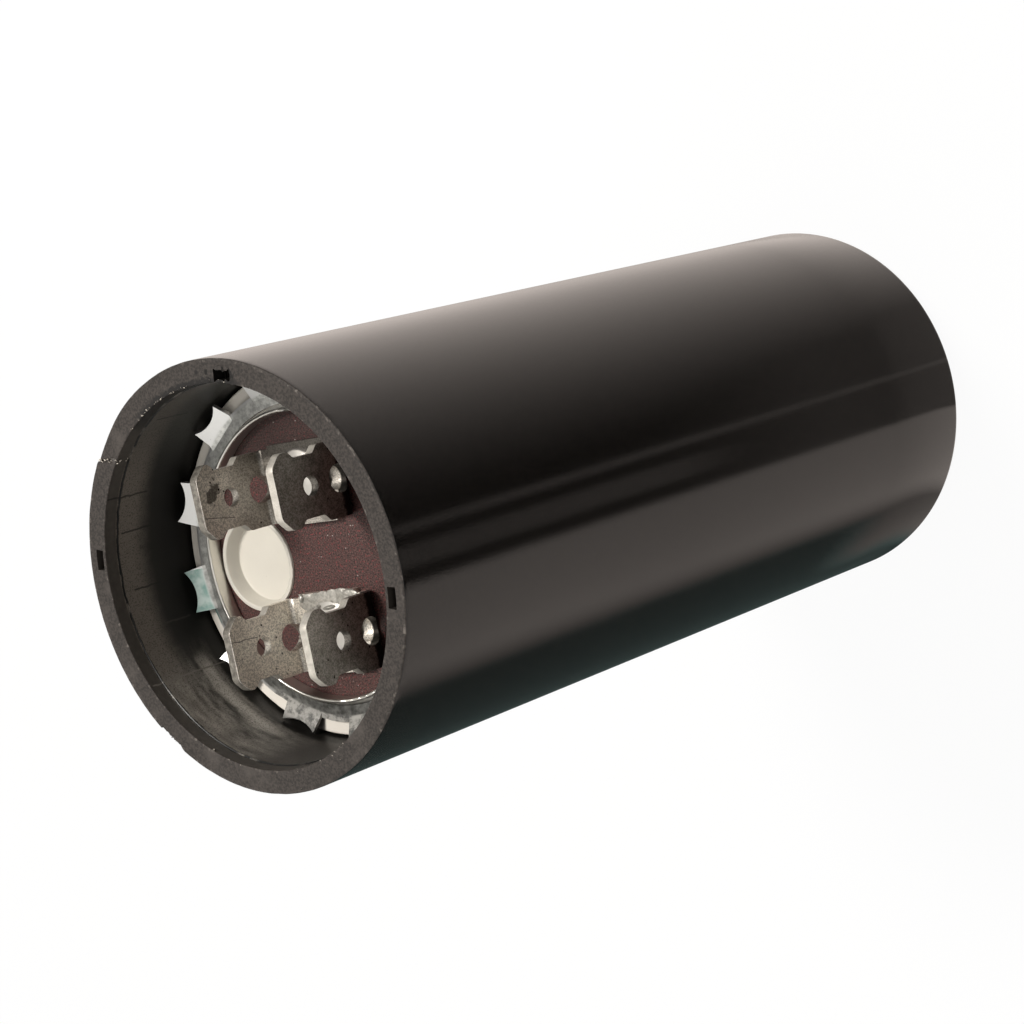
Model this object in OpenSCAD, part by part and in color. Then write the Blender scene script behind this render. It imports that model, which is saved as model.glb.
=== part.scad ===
// Motor start capacitor: moulded case, inner can, riveted push-on terminals.
// The case stands on its closed end, with its axis on Z and its mouth at the top.
// The blades are wide along Y, and each bracket's two blades stand apart along X.

/* [Case] */
// Outside diameter of the case
case_d = 36.5; // [36:0.1:47]
// Length of the case
case_l = 85.7; // [70:0.1:112]
// Wall of the case
case_wall = 2.15; // [1.6:0.05:2.6]
// Floor of the closed end
case_floor = 2.6; // [1.6:0.1:4]
// Outer edge radius of the closed end
case_end_r = 0.9; // [0.3:0.1:1.5]
// Bevel of the rim's outer edge
rim_bevel = 0.15; // [0.05:0.05:0.4]
// Depth of the wider mouth above the fine step
mouth_l = 1.45; // [0.8:0.05:3]
// Width of the fine step
mouth_step = 0.1; // [0.05:0.01:0.3]

/* [Rim slots] */
// Slot width along the rim
slot_w = 1.8; // [1:0.1:3]
// Slot size across the wall
slot_t = 0.85; // [0.5:0.05:1]
// Distance from the bore to the slot
slot_in = 0.4; // [0.2:0.05:0.6]
// Slot depth
slot_deep = 3; // [1:0.5:6]

/* [Inner can] */
// Rim of the case to the can's shoulder
can_depth = 9.75; // [9:0.05:14]
// Gap from the can to the case's bore
can_gap = 0.2; // [0.15:0.05:0.6]
// Sheet thickness of the can
can_t = 0.35; // [0.3:0.05:0.6]
// Outside radius of the can's bends
can_bend = 0.2; // [0.1:0.05:0.6]
// Shoulder width, from the outer wall to the lip
shoulder_w = 3.1; // [2.6:0.05:4]
// Height of the lip above the shoulder
lip_h = 1.15; // [0.8:0.05:1.8]
// How far the bead reaches in
bead_in = 0.9; // [0.6:0.1:1.4]
// Outside height of the bead's groove
bead_h = 1.1; // [0.6:0.1:2]
// Pad under the can
case_pad_t = 0.8; // [0.4:0.1:2]
// Pad on the can's floor
can_pad_t = 1; // [0.4:0.1:2]
// Side clearance of discs in the can and the case
disc_gap = 0.1; // [0.05:0.05:0.3]

/* [Cover] */
// Cover plate thickness
plate_t = 2.4; // [1.6:0.1:4]
// Seal thickness
seal_t = 2; // [1:0.1:4]

/* [Retaining ring] */
// Sheet thickness of the ring
ring_t = 0.4; // [0.3:0.05:0.6]
// Gap from the lip to the ring
ring_gap = 0.35; // [0.2:0.05:0.5]
// Can's outer wall to the floor of the notches
notch_in = 1.3; // [0.8:0.05:1.6]
// Can's outer wall to the line where the teeth bend up
tooth_in = 1.85; // [1.7:0.05:2.1]
// Number of teeth
tooth_count = 12; // [8:1:14]
// Width of a tooth where it leaves the ring
tooth_root_w = 3.95; // [3:0.05:4.6]
// Distance between a tooth's two horns
tooth_tip_w = 3.66; // [2:0.02:3.8]
// Depth of the hollow between the horns
tooth_hollow = 0.56; // [0.3:0.02:1]
// Angle at which the teeth bend up
tooth_tilt = 31; // [8:1:36]
// Angle of the first tooth
tooth_phase = 7; // [0:0.1:30]
// Gap from the horns to the bore
tooth_gap = 0.03; // [0.01:0.01:0.1]

/* [Terminals] */
// Gap from the brackets' root corners to the lip
terminal_gap = 1.22; // [0.8:0.02:2]
// Shift of both brackets and the vent along Y
pattern_shift = -0.25; // [-0.5:0.05:0.5]
// Distance between the middles of a bracket's two blades
blade_pitch = 9.6; // [8:0.1:10.2]
// Blade thickness
blade_t = 0.8; // [0.5:0.05:1]
// Height of the blade tips above the cover plate
blade_h = 8.75; // [8.4:0.05:10]
// Blade width at the head
blade_w = 6.35; // [6:0.05:6.5]
// Blade width at the neck
neck_w = 5.15; // [4.4:0.05:5.6]
// Blade width at the root
root_w = 6.4; // [6:0.05:6.6]
// Tip corner bevel
tip_bevel = 1.05; // [0.5:0.05:1.4]
// Tip to the end of the head
head_l = 2; // [1.5:0.1:2.4]
// Tip to the start of the root
root_from_tip = 5.4; // [4.6:0.1:6]
// Length of the slope at each end of the neck
neck_slope = 0.6; // [0.3:0.05:0.9]
// Detent hole diameter
detent_d = 1.7; // [1.2:0.1:2]
// Tip to the middle of the detent hole
detent_from_tip = 3.9; // [3.4:0.1:4.4]
// Wire hole diameter
wire_hole_d = 2.4; // [1.6:0.1:2.6]
// Cover plate to the lower edge of the wire hole
wire_web = 0.25; // [0.15:0.05:0.8]
// Bend radius inside the bracket
bracket_bend = 0.4; // [0.2:0.05:0.8]
// Width of the base's middle
base_w = 7.05; // [6.6:0.05:7.6]
// Length of the base's wide middle
base_l = 6.6; // [5:0.1:7]

/* [Rivets] */
// Rivet shank diameter
rivet_d = 3.2; // [2.4:0.1:4]
// Rivet head diameter
rivet_head_d = 6; // [5:0.1:6.4]
// Rivet head height
rivet_head_h = 0.55; // [0.3:0.05:1]
// Rivet tail diameter
rivet_tail_d = 5; // [4.4:0.1:6]
// Rivet tail height
rivet_tail_h = 0.7; // [0.4:0.05:1.2]
// Clearance of a rivet in its holes
rivet_gap = 0.05; // [0.02:0.01:0.1]
// Inner washer diameter
washer_d = 6.4; // [5.4:0.1:7.6]
// Inner washer thickness
washer_t = 0.6; // [0.4:0.05:1.2]

/* [Vent plug] */
// Plug wall round the cup, at the cover plate's top
plug_wall = 0.3; // [0.2:0.05:0.45]
// Height of the flange above the cover plate
plug_rise = 0.25; // [0.2:0.05:0.8]
// How far the bulb below the seal stands out from the neck
plug_bulb_out = 0.4; // [0.2:0.05:0.8]
// Length of the bulb below the seal
plug_bulb_l = 1.2; // [0.8:0.1:2]
// Gap from the flange to the brackets and to the lip
plug_gap = 0.13; // [0.05:0.01:0.3]
// Width of the rim round the cup
plug_rim_w = 0.4; // [0.3:0.05:0.9]
// Radius of the rim's rounded edge
plug_roll = 0.08; // [0.04:0.01:0.15]
// How far the cup's wall leans in from its mouth to its floor
cup_lean = 0.35; // [0.1:0.05:1.6]
// Cup depth
cup_deep = 1.3; // [0.8:0.1:2.6]
// Blow-out bore diameter
blow_d = 2.4; // [1:0.1:3]
// Skin left above the blow-out bore
blow_skin = 0.8; // [0.3:0.1:1.4]

/* [Winding and leads] */
// Space from the seal to the winding
head_room = 9.2; // [7:0.1:14]
// Winding wrap thickness
wrap_t = 0.7; // [0.3:0.05:1.2]
// How far the wrap stands above the winding
wrap_above = 4; // [0:0.5:5]
// Core hole diameter
core_d = 4; // [2:0.5:8]
// Lead tab width
tab_w = 5; // [4.6:0.1:6]
// Lead tab thickness
tab_t = 0.3; // [0.2:0.05:0.5]
// Distance from the rivet to the lead's upright
tab_out = 3.4; // [3.1:0.1:4]
// How deep the lead goes into the winding
tab_deep = 6; // [3:0.5:12]
// Clearance of the lead in the winding
tab_gap = 0.05; // [0.02:0.01:0.1]

/* [Hidden] */
$fn = 96;
CUT = 1;
SLOT_ANGLES = [79.5, 170, 350.5];

bore_r = case_d / 2 - case_wall;
can_r = bore_r - can_gap;
can_in_r = can_r - can_t;
can_z = case_floor + case_pad_t;
can_floor_z = can_z + can_t;
shoulder_z = case_l - can_depth;
lip_out_r = can_r - shoulder_w;
lip_in_r = lip_out_r - can_t;

plate_z = shoulder_z - can_t;
seal_top_z = plate_z - plate_t;
seal_z = seal_top_z - seal_t;
disc_r = can_in_r - disc_gap;

ring_in_r = lip_out_r + ring_gap;
notch_r = can_r - notch_in;
bend_x = can_r - tooth_in;
tip_reach = sqrt(pow(bore_r - tooth_gap, 2) - pow(tooth_tip_w / 2, 2));
tooth_l = (tip_reach - bend_x - ring_t / 2 * sin(tooth_tilt)) / cos(tooth_tilt);
hollow_r = (pow(tooth_tip_w / 2, 2) + pow(tooth_hollow, 2)) / (2 * tooth_hollow);

// The brackets stand as far apart as the lip lets them
bracket_l = blade_pitch + blade_t;
root_far_y = sqrt(pow(lip_in_r - terminal_gap, 2) - pow(bracket_l / 2, 2));
terminal_y = root_far_y - root_w / 2 - abs(pattern_shift);
terminal_a_y = pattern_shift + terminal_y;
terminal_b_y = pattern_shift - terminal_y;
washer_z = seal_z - washer_t;
tab_z = washer_z - tab_t;

// The flange fills the room between the lip and the brackets' root ends
plug_side = terminal_y - root_w / 2;
plug_room = lip_in_r - plug_gap - bracket_l / 2;
plug_r = (pow(plug_room, 2) + pow(plug_side, 2) - pow(plug_gap, 2)) / (2 * (plug_room + plug_gap));
plug_x = plug_r + plug_gap - lip_in_r;
cup_top_r = plug_r - plug_rim_w;
cup_floor_r = cup_top_r - cup_lean;
cup_slope = cup_lean / cup_deep;
plug_neck_r = cup_top_r - cup_slope * plug_rise + plug_wall;

winding_z = can_floor_z + can_pad_t;
winding_top_z = seal_z - head_room;
winding_r = can_in_r - disc_gap - wrap_t;

// Rectangle of a given width, from y = 0 up, with round lower corners
module round_foot(width, height, r) {
    translate([-width / 2, r]) square([width, height - r]);
    translate([-width / 2 + r, 0]) square([width - 2 * r, height]);
    for (side = [-1, 1]) translate([side * (width / 2 - r), r]) circle(r);
}

// Half of a section that is turned about Z
module right_half(reach, height) {
    intersection() {
        children();
        translate([0, -CUT]) square([reach + CUT, height + 2 * CUT]);
    }
}

module rim_slot() {
    translate([bore_r + slot_in, -slot_w / 2, case_l - slot_deep]) cube([slot_t, slot_w, slot_deep + CUT]);
}

module case() {
    color([0.13, 0.12, 0.12]) difference() {
        rotate_extrude() difference() {
            right_half(case_d / 2, case_l) round_foot(case_d, case_l, case_end_r);
            translate([-CUT, case_floor]) square([bore_r + CUT, case_l]);
            translate([-CUT, case_l - mouth_l]) square([bore_r + mouth_step + CUT, case_l]);
            translate([case_d / 2, case_l]) rotate(45) square(rim_bevel * sqrt(2), center = true);
        }
        for (angle = SLOT_ANGLES) rotate(angle) rim_slot();
    }
}

module case_pad() {
    color([0.45, 0.36, 0.26]) translate([0, 0, case_floor]) cylinder(h = case_pad_t, r = bore_r - disc_gap);
}

// What lies outside a bend whose arc is about the origin, towards +X and +Y
module outside_bend() {
    difference() {
        square(can_bend + CUT);
        circle(can_bend);
    }
}

module can_section() {
    bead_z = seal_z - 2 * can_t - bead_h;
    neck_r = can_in_r - bead_in;
    lip_top_z = shoulder_z + lip_h - can_t / 2;
    difference() {
        union() {
            // Floor, and the outer wall below the bead
            translate([0, can_z]) square([can_r, can_t]);
            translate([can_in_r, can_z]) square([can_t, bead_z + can_t - can_z]);
            // Bead that carries the seal
            translate([neck_r, bead_z]) square([can_t, seal_z - bead_z]);
            for (z = [bead_z, seal_z - can_t]) translate([neck_r, z]) square([bead_in + can_t, can_t]);
            // Outer wall above the bead, shoulder and upturned lip
            translate([can_in_r, seal_z - can_t]) square([can_t, shoulder_z - seal_z + can_t]);
            translate([lip_in_r, plate_z]) square([can_r - lip_in_r, can_t]);
            translate([lip_in_r, plate_z]) square([can_t, lip_top_z - plate_z]);
            translate([lip_in_r + can_t / 2, lip_top_z]) circle(can_t / 2);
        }
        translate([can_r - can_bend, can_z + can_bend]) mirror([0, 1]) outside_bend();
        translate([can_r - can_bend, shoulder_z - can_bend]) outside_bend();
        translate([lip_in_r + can_bend, plate_z + can_bend]) rotate(180) intersection() {
            outside_bend();
            square(can_bend);
        }
    }
}

module inner_can() {
    color([0.78, 0.77, 0.74]) rotate_extrude() can_section();
}

module can_pad() {
    color([0.6, 0.5, 0.36]) translate([0, 0, can_floor_z]) cylinder(h = can_pad_t, r = disc_r);
}

module tab_slot(y) {
    translate([-tab_w / 2 - tab_gap, y - tab_gap, winding_top_z - tab_deep - tab_gap])
        cube([tab_w + 2 * tab_gap, tab_t + 2 * tab_gap, tab_deep + tab_gap + CUT]);
}

module winding() {
    color([0.72, 0.64, 0.5]) difference() {
        translate([0, 0, winding_z]) cylinder(h = winding_top_z - winding_z, r = winding_r);
        translate([0, 0, winding_z - CUT]) cylinder(h = winding_top_z - winding_z + 2 * CUT, d = core_d);
        tab_slot(terminal_a_y + tab_out);
        tab_slot(terminal_b_y - tab_out - tab_t);
    }
}

module winding_wrap() {
    color([0.68, 0.55, 0.38]) translate([0, 0, winding_z]) difference() {
        cylinder(h = winding_top_z + wrap_above - winding_z, r = winding_r + wrap_t);
        translate([0, 0, -CUT]) cylinder(h = case_l, r = winding_r);
    }
}

// Strip from the winding up to the rivet, with its upright on the +Y side
module lead_tab() {
    upright_h = tab_z + tab_t - winding_top_z + tab_deep;
    color([0.8, 0.8, 0.8]) difference() {
        union() {
            translate([-tab_w / 2, tab_out, winding_top_z - tab_deep]) cube([tab_w, tab_t, upright_h]);
            translate([-tab_w / 2, 0, tab_z]) cube([tab_w, tab_out + tab_t, tab_t]);
            translate([0, 0, tab_z]) cylinder(h = tab_t, d = tab_w);
        }
        translate([0, 0, tab_z - CUT]) cylinder(h = tab_t + 2 * CUT, d = rivet_d + 2 * rivet_gap);
    }
}

module lead_tab_a() { translate([0, terminal_a_y, 0]) lead_tab(); }

module lead_tab_b() { translate([0, terminal_b_y, 0]) mirror([0, 1, 0]) lead_tab(); }

// Disc that fills the can's mouth, with holes for the rivets and the vent plug
module cover_disc(z, t) {
    difference() {
        translate([0, 0, z]) cylinder(h = t, r = disc_r);
        for (y = [terminal_a_y, terminal_b_y])
            translate([0, y, z - CUT]) cylinder(h = t + 2 * CUT, d = rivet_d + 2 * rivet_gap);
        translate([plug_x, pattern_shift, z - CUT]) cylinder(h = t + 2 * CUT, r = plug_neck_r);
    }
}

module cover_seal() { color([0.1, 0.1, 0.1]) cover_disc(seal_z, seal_t); }

module cover_plate() { color([0.3, 0.15, 0.14]) cover_disc(seal_top_z, plate_t); }

module plug_section() {
    neck_l = plate_z - seal_z;
    translate([0, plate_z]) square([plug_r - plug_roll, plug_rise]);
    translate([0, plate_z]) square([plug_r, plug_rise - plug_roll]);
    translate([plug_r - plug_roll, plate_z + plug_rise - plug_roll]) intersection() {
        circle(plug_roll);
        square(plug_roll);
    }
    translate([0, seal_z]) square([plug_neck_r, neck_l]);
    translate([0, seal_z - plug_bulb_l]) square([plug_neck_r + plug_bulb_out, plug_bulb_l]);
}

module vent_plug() {
    top_z = plate_z + plug_rise;
    floor_z = top_z - cup_deep;
    bulb_z = seal_z - plug_bulb_l;
    color([0.93, 0.9, 0.85]) translate([plug_x, pattern_shift, 0]) difference() {
        rotate_extrude() plug_section();
        translate([0, 0, floor_z])
            cylinder(h = cup_deep + CUT, r1 = cup_floor_r, r2 = cup_top_r + cup_slope * CUT);
        translate([0, 0, bulb_z - CUT]) cylinder(h = floor_z - blow_skin - bulb_z + CUT, d = blow_d);
    }
}

module rivet_washer(y) {
    color([0.7, 0.7, 0.7]) translate([0, y, washer_z]) difference() {
        cylinder(h = washer_t, d = washer_d);
        translate([0, 0, -CUT]) cylinder(h = washer_t + 2 * CUT, d = rivet_d + 2 * rivet_gap);
    }
}

module rivet_washer_a() { rivet_washer(terminal_a_y); }

module rivet_washer_b() { rivet_washer(terminal_b_y); }

// Domed disc on z = 0
module dome(d, h) {
    ball_r = (pow(d / 2, 2) + pow(h, 2)) / (2 * h);
    intersection() {
        translate([0, 0, h - ball_r]) sphere(ball_r);
        cylinder(h = h + CUT, d = d + CUT);
    }
}

module rivet(y) {
    base_top_z = plate_z + blade_t;
    color([0.75, 0.73, 0.7]) translate([0, y, 0]) {
        translate([0, 0, base_top_z]) dome(rivet_head_d, rivet_head_h);
        translate([0, 0, tab_z]) cylinder(h = base_top_z - tab_z + rivet_head_h / 2, d = rivet_d);
        translate([0, 0, tab_z]) mirror([0, 0, 1]) dome(rivet_tail_d, rivet_tail_h);
        translate([0, 0, tab_z - rivet_tail_h / 2]) cylinder(h = rivet_tail_h, d = rivet_d);
    }
}

module rivet_a() { rivet(terminal_a_y); }

module rivet_b() { rivet(terminal_b_y); }

// One side of a blade's outline, from its root to its tip
module blade_half() {
    polygon([
        [0, 0],
        [root_w / 2, 0],
        [root_w / 2, blade_h - root_from_tip],
        [neck_w / 2, blade_h - root_from_tip + neck_slope],
        [neck_w / 2, blade_h - head_l - neck_slope],
        [blade_w / 2, blade_h - head_l],
        [blade_w / 2, blade_h - tip_bevel],
        [blade_w / 2 - tip_bevel, blade_h],
        [0, blade_h]
    ]);
}

module blade_outline() {
    blade_half();
    mirror([1, 0]) blade_half();
}

// Bracket bent from one strip, with its base on z = 0
module bracket() {
    difference() {
        intersection() {
            rotate([90, 0, 0]) linear_extrude(base_w + 2 * CUT, center = true) difference() {
                round_foot(bracket_l, blade_h + CUT, bracket_bend + blade_t);
                translate([0, blade_t]) round_foot(bracket_l - 2 * blade_t, blade_h + CUT, bracket_bend);
            }
            union() {
                rotate([90, 0, 90]) linear_extrude(bracket_l + 2 * CUT, center = true) blade_outline();
                translate([-base_l / 2, -base_w / 2, 0]) cube([base_l, base_w, blade_t]);
            }
        }
        translate([0, 0, blade_h - detent_from_tip]) rotate([0, 90, 0])
            cylinder(h = bracket_l + 2 * CUT, d = detent_d, center = true);
        translate([0, 0, wire_web + wire_hole_d / 2]) rotate([0, 90, 0])
            cylinder(h = bracket_l + 2 * CUT, d = wire_hole_d, center = true);
        translate([0, 0, -CUT]) cylinder(h = blade_t + 2 * CUT, d = rivet_d + 2 * rivet_gap);
    }
}

module terminal(y) { color([0.55, 0.52, 0.48]) translate([0, y, plate_z]) bracket(); }

module terminal_a() { terminal(terminal_a_y); }

module terminal_b() { terminal(terminal_b_y); }

// One tooth, lying flat along +X from the bend line, before it is bent up
module tooth_outline() {
    difference() {
        polygon([
            [-tooth_in + notch_in, tooth_root_w / 2],
            [tooth_in - notch_in, tooth_root_w / 2],
            [tooth_l, tooth_tip_w / 2],
            [tooth_l, -tooth_tip_w / 2],
            [tooth_in - notch_in, -tooth_root_w / 2],
            [-tooth_in + notch_in, -tooth_root_w / 2]
        ]);
        translate([tooth_l - tooth_hollow + hollow_r, 0]) circle(hollow_r);
    }
}

module tooth() {
    translate([bend_x, 0, ring_t / 2]) rotate([0, -tooth_tilt, 0])
        linear_extrude(ring_t, center = true) tooth_outline();
}

module retaining_ring() {
    color([0.62, 0.64, 0.65]) translate([0, 0, shoulder_z]) difference() {
        union() {
            cylinder(h = ring_t, r = notch_r);
            for (i = [0 : tooth_count - 1]) rotate(tooth_phase + i * 360 / tooth_count) tooth();
        }
        translate([0, 0, -CUT]) cylinder(h = ring_t + 2 * CUT, r = ring_in_r);
        translate([0, 0, -CUT]) cylinder(h = CUT, r = case_d);
    }
}

case();
case_pad();
inner_can();
can_pad();
winding();
winding_wrap();
lead_tab_a();
lead_tab_b();
cover_seal();
cover_plate();
vent_plug();
rivet_washer_a();
rivet_washer_b();
rivet_a();
rivet_b();
terminal_a();
terminal_b();
retaining_ring();
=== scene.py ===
"""Looks of a motor start capacitor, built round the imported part. Lengths are in metres, angles in degrees."""
import math
import random

import bmesh
import bpy
from mathutils import Matrix, Vector, noise


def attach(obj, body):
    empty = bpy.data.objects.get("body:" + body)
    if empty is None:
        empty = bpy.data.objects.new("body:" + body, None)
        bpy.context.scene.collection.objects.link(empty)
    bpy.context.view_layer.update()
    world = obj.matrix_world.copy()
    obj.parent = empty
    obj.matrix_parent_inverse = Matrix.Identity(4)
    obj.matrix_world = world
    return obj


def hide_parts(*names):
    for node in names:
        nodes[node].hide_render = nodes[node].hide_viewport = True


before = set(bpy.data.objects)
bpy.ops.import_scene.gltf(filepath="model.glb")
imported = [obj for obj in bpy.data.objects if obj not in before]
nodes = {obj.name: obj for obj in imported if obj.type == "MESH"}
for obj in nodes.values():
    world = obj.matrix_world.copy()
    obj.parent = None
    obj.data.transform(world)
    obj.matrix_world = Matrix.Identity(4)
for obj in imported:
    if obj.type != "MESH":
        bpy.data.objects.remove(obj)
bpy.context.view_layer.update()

MM = 0.001
TO_DEGREES = 180 / math.pi
NOISE_SEED = 7
noise.seed_set(NOISE_SEED)

# The case, a cup with its mouth upwards
CASE_R = 18.25 * MM
RIM_Z = 85.7 * MM
MOUTH_R = 16.2 * MM
BORE_R = 16.1 * MM
STEP_Z = RIM_Z - 1.45 * MM
CASE_FLOOR_Z = 2.6 * MM
WALL_MIDDLE_R = 17 * MM
WEAR_Z = 82.6 * MM
SLOT_ANGLES = (79.5, 170.0, 350.5)
UPPER_SLOT = SLOT_ANGLES[0]
SLOT_IN_R, SLOT_OUT_R = 16.5 * MM, 17.35 * MM
SLOT_HALF, SLOT_DEPTH = 3.0, 3.0 * MM
CRACK_OUT, CRACK_IN = 140.9, 137.0
CHIP_START, CHIP_END = 221.6, 231.5

# The brackets on the cover plate
PLATE_Z = 75.6 * MM
BASE_Z = 76.4 * MM
NECK_Z, HEAD_Z, BLADE_TIP_Z = 78.0 * MM, 82.8 * MM, 84.35 * MM
BLADE_IN_X = 4.4 * MM
TERMINAL_A_Y = 6.2535 * MM
TERMINAL_B_Y = -6.7535 * MM
PATTERN_Y = (TERMINAL_A_Y + TERMINAL_B_Y) / 2
RIVET_HEAD_R = 2.7 * MM
FAR_TIP_DROP = 0.35 * MM
STAIN = (-4.4 * MM, TERMINAL_A_Y + 0.7 * MM, BLADE_TIP_Z - 1.9 * MM)
SCRATCHES = ((4.8 * MM, 0.16, 82.2 * MM), (-5.65 * MM, 0.06, 82.6 * MM))

# The ring, the can's shoulder and the plug
TOOTH_R = 14.1 * MM
RING_TOP_Z = 75.95 * MM
KNOCKED_TOOTH, PRESSED_TOOTH, TOOTH_HALF = 127.0, 247.0, 11.0
SHOULDER_R = 12.9 * MM
PLUG_X = -8.07 * MM
CUP_FLOOR_Z, CUP_RIM_Z = 74.55 * MM, 75.85 * MM

# Lines scored in the case's inner wall: angle, depths in mm from and to, tone
BLACK_LINE, FAINT_LINE, PALE_LINE = (0.003, 0.003, 0.003), (0.030, 0.028, 0.025), (0.150, 0.137, 0.122)
WALL_LINES = ((120.6, 2.4, 5.7, BLACK_LINE), (150.7, 0.15, 4.5, BLACK_LINE), (162.6, 2.0, 5.3, BLACK_LINE),
              (181.0, 2.7, 5.5, BLACK_LINE), (193.7, 4.6, 7.6, FAINT_LINE), (211.5, 0.5, 8.6, PALE_LINE))

# The studio
WARM = (1.0, 0.89, 0.82)
DARK_SIDE = (0.72, 1.0, 0.95)
WALL_SIDE, STRIP_SIDE, THIN_SIDE, BROAD_SIDE, FRONT_SIDE = 137.0, -50.0, 7.0, -7.8, 15.0
CAMERA_BEARING = 8.0214
CAMERA_PLACE = (0.15164, 0.01975, 0.22319)
CAMERA_RIGHT = (0.74759, -0.20117, -0.63296)
CAMERA_BACK = (0.65778, 0.09244, 0.74752)
CAMERA_LENS, CAMERA_SENSOR = 87.97, 36.0


class Value:
    """A socket of a shader tree, on which Python's operators add Math nodes."""

    def __init__(self, tree, socket):
        self.tree = tree
        self.socket = socket

    def _math(self, operation, a, b=0.0):
        return self.tree.add("ShaderNodeMath", {"operation": operation}, {0: a, 1: b})

    def __add__(self, other):
        return self._math("ADD", self, other)

    __radd__ = __add__

    def __sub__(self, other):
        return self._math("SUBTRACT", self, other)

    def __rsub__(self, other):
        return self._math("SUBTRACT", other, self)

    def __mul__(self, other):
        return self._math("MULTIPLY", self, other)

    __rmul__ = __mul__

    def __truediv__(self, other):
        return self._math("DIVIDE", self, other)

    def __rtruediv__(self, other):
        return self._math("DIVIDE", other, self)

    def __pow__(self, other):
        return self._math("POWER", self, other)

    def __abs__(self):
        return self._math("ABSOLUTE", self)

    def over(self, other):
        """The larger of the two."""
        return self._math("MAXIMUM", self, other)

    def under(self, other):
        """The smaller of the two."""
        return self._math("MINIMUM", self, other)


class Tree:
    """A shader tree and the nodes that it is drawn with."""

    def __init__(self, tree, place):
        self.tree = tree
        self.place = self.add("ShaderNodeTexCoord", out=place)

    def add(self, kind, settings=None, sockets=None, out=0):
        """Adds one node: its settings first, then its sockets' values or links."""
        node = self.tree.nodes.new(kind)
        for key, value in (settings or {}).items():
            setattr(node, key, value)
        for key, value in (sockets or {}).items():
            if isinstance(value, Value):
                self.tree.links.new(value.socket, node.inputs[key])
            else:
                node.inputs[key].default_value = value
        return Value(self, node.outputs[out])

    def axes(self):
        """The place's x, y and z."""
        split = self.add("ShaderNodeSeparateXYZ", None, {0: self.place}).socket.node
        return [Value(self, socket) for socket in split.outputs]

    def polar(self):
        """The place's radius about the part's axis, and its angle from -180 to 180."""
        x, y, _ = self.axes()
        turn = self.add("ShaderNodeMath", {"operation": "ARCTAN2"}, {0: y, 1: x})
        return (x * x + y * y) ** 0.5, turn * TO_DEGREES

    def turned(self, scale, rotation=(0, 0, 0)):
        """The place, stretched and turned."""
        return self.add("ShaderNodeMapping", None,
                        {"Vector": self.place, "Rotation": rotation, "Scale": scale})

    def cloud(self, size, detail=3.0, roughness=0.55, place=None):
        """Noise from 0 to 1 whose patches are about this size."""
        return self.add("ShaderNodeTexNoise", None, {"Vector": place or self.place, "Scale": 1.0 / size,
                                                     "Detail": detail, "Roughness": roughness})

    def cells(self, size):
        """Distance to the nearest of scattered points, 1 being this size."""
        return self.add("ShaderNodeTexVoronoi", {"feature": "F1"},
                        {"Vector": self.place, "Scale": 1.0 / size}, "Distance")

    def ease(self, value, low, high, first=0.0, last=1.0):
        """A smooth step from first to last as value goes from low to high."""
        return self.add("ShaderNodeMapRange", {"interpolation_type": "SMOOTHSTEP", "clamp": True},
                        {"Value": value, "From Min": low, "From Max": high, "To Min": first, "To Max": last})

    def band(self, value, middle, half, soft):
        """1 within half of middle, falling to 0 over soft."""
        return self.ease(abs(value - middle), half, half + soft, 1.0, 0.0)

    def mix(self, a, b, factor):
        """Colour a, turning into colour b with factor."""
        a, b = (colour if isinstance(colour, Value) else (*colour, 1.0) for colour in (a, b))
        return self.add("ShaderNodeMix", {"data_type": "RGBA"}, {"Factor": factor, 6: a, 7: b}, 2)

    def bump(self, height, depth, strength):
        """A normal that follows a fine relief."""
        return self.add("ShaderNodeBump", None, {"Height": height, "Distance": depth, "Strength": strength})


class Finish(Tree):
    """A material on Object coordinates."""

    def __init__(self, name, **constants):
        self.material = bpy.data.materials.new(name)
        self.material.use_nodes = True
        super().__init__(self.material.node_tree, "Object")
        self.shader = self.tree.nodes["Principled BSDF"]
        for socket, value in constants.items():
            self.shader.inputs[socket.replace("_", " ")].default_value = value

    def set(self, **links):
        """Feeds the shader's sockets."""
        for socket, value in links.items():
            self.tree.links.new(value.socket, self.shader.inputs[socket.replace("_", " ")])
        return self.material

    def show(self, surface):
        """Takes this surface in the shader's stead."""
        self.tree.links.new(surface.socket, self.tree.nodes["Material Output"].inputs["Surface"])
        return self.material


def new_object(name, builder, materials):
    """Turns a bmesh into an object in the scene."""
    mesh = bpy.data.meshes.new(name)
    builder.to_mesh(mesh)
    builder.free()
    for material in materials:
        mesh.materials.append(material)
    obj = bpy.data.objects.new(name, mesh)
    bpy.context.scene.collection.objects.link(obj)
    return obj


def new_piece(name, builder, materials, slot, *stands_for, crisp=False):
    """A piece that rides on the part's one body; crisp keeps its flats flat beside eased edges."""
    piece = new_object(name, builder, materials)
    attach(piece, "root")
    if stands_for:
        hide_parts(*stands_for)
    if crisp:
        piece.modifiers.new("flat_faces", "WEIGHTED_NORMAL").keep_sharp = True


def paint(material, *names):
    """Gives CAD nodes their finish."""
    for name in names:
        mesh = nodes[name].data
        mesh.materials.clear()
        mesh.materials.append(material)


def shade(builder, sharp=0.6):
    """Smooth faces, with a crease wherever they turn by more than sharp radians."""
    for face in builder.faces:
        face.smooth = True
    for edge in builder.edges:
        edge.smooth = edge.calc_face_angle(0.0) < sharp


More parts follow.
